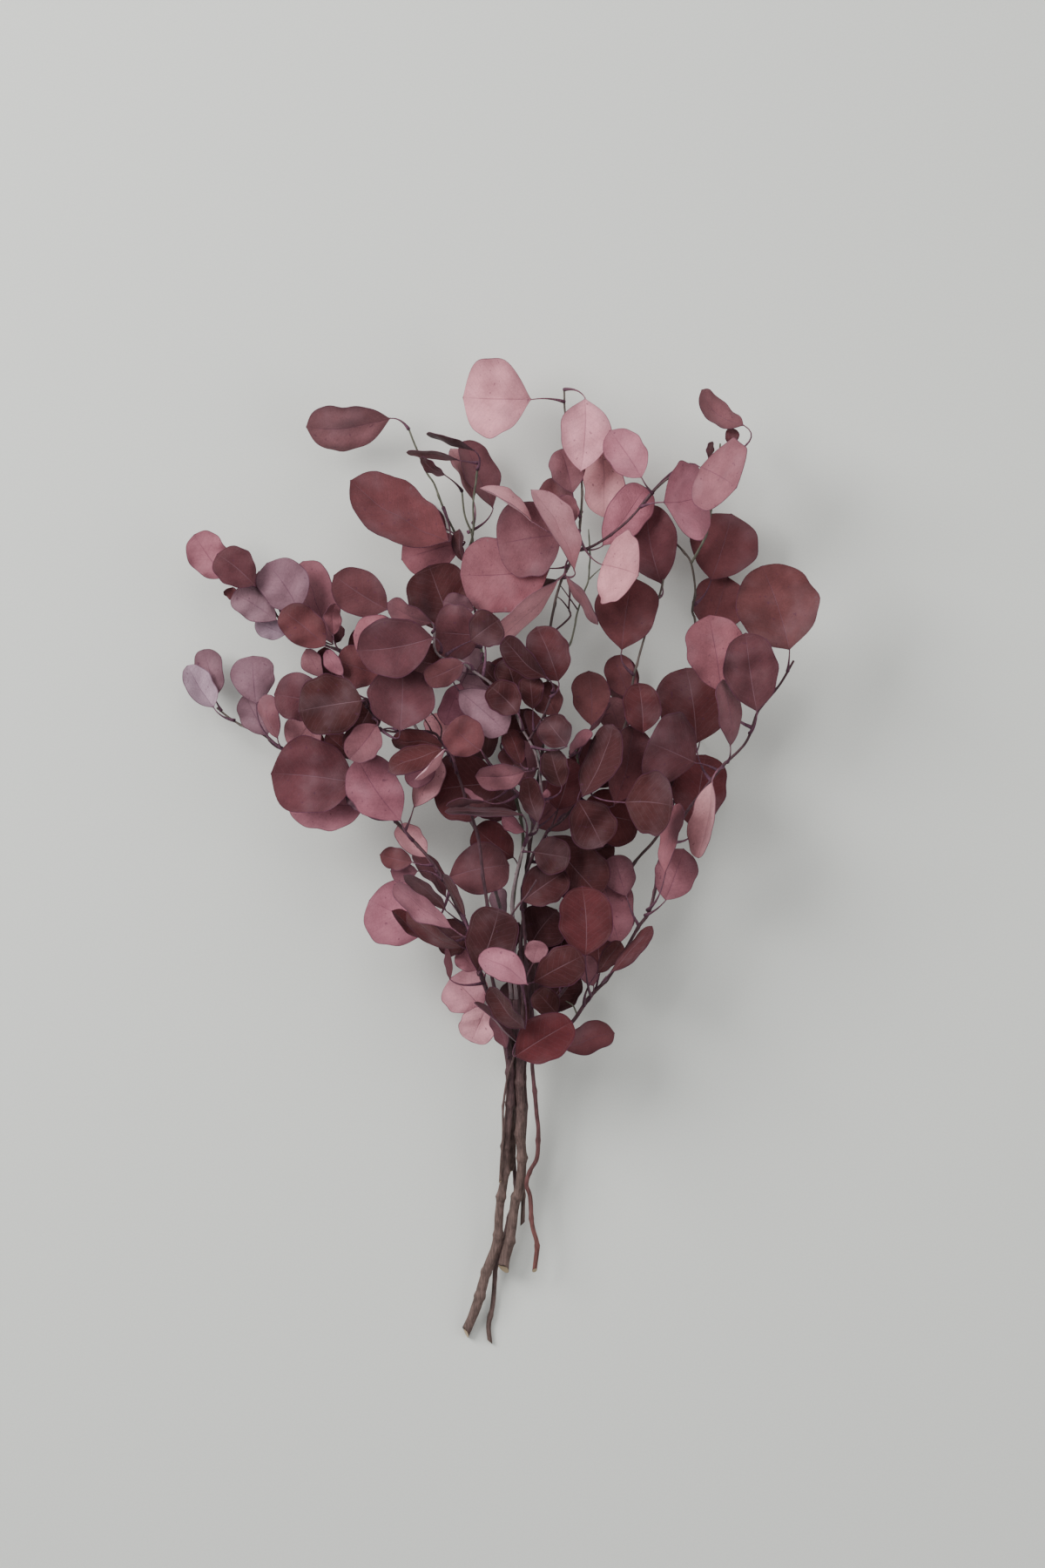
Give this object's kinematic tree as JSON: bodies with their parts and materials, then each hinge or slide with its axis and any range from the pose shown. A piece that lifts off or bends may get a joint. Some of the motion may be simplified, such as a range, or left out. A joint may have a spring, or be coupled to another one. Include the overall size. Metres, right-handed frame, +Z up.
{
  "type": "bunch of dried eucalyptus",
  "caption": "Lying bunch of dried eucalyptus: leafy stems of rounded pink, mauve and plum leaves on thin twigs, gathered at a narrow neck above bare cut stems.",
  "frame": {"origin": "the middle of the bunch's box, on the surface that it lies on", "axes": "+Y runs along the bunch from the cut stems to the top leaves, +Z is up from the surface, +X is across the bunch to the right as seen from above"},
  "size_m": [0.3674, 0.5686, 0.1118],
  "materials": {
    "dried_leaves": "matte",
    "stem_bark": "matte"
  },
  "bodies": {
    "root": {"left_stem": "dried_leaves", "upper_left_stem": "dried_leaves", "top_stem": "dried_leaves", "back_right_stem": "dried_leaves", "right_stem": "dried_leaves", "centre_stem": "dried_leaves", "front_low_sprig": "dried_leaves"}
  },
  "joints": []
}
